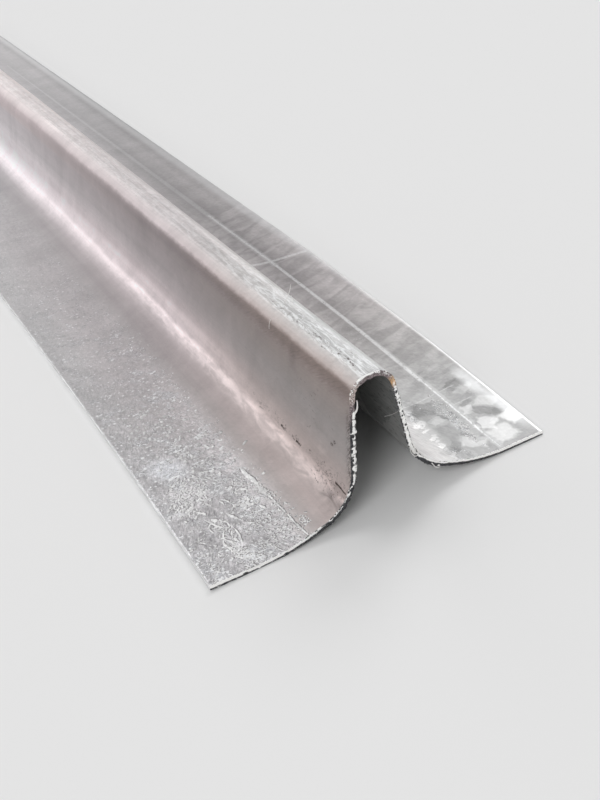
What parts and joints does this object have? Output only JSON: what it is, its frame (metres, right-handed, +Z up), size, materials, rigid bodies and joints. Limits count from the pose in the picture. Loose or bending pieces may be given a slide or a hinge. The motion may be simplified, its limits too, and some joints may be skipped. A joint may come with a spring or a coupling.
{
  "type": "hat channel",
  "caption": "Long cold-formed steel channel with a narrow round crown, steep webs and wide curved flanges that end in short flat strips.",
  "frame": {"origin": "middle of the footprint, halfway along the length, on the plane of the flange undersides", "axes": "+X along the length towards the cut end in the picture, +Y across towards the flange on the picture's right, +Z up from the flanges to the crown"},
  "size_m": [2.44, 0.082, 0.032],
  "materials": {
    "galvanised_steel": "hot-dip zinc coat, dull and scuffed, with bare sawn edges"
  },
  "bodies": {
    "root": {"hat_channel": "galvanised_steel"}
  },
  "joints": []
}
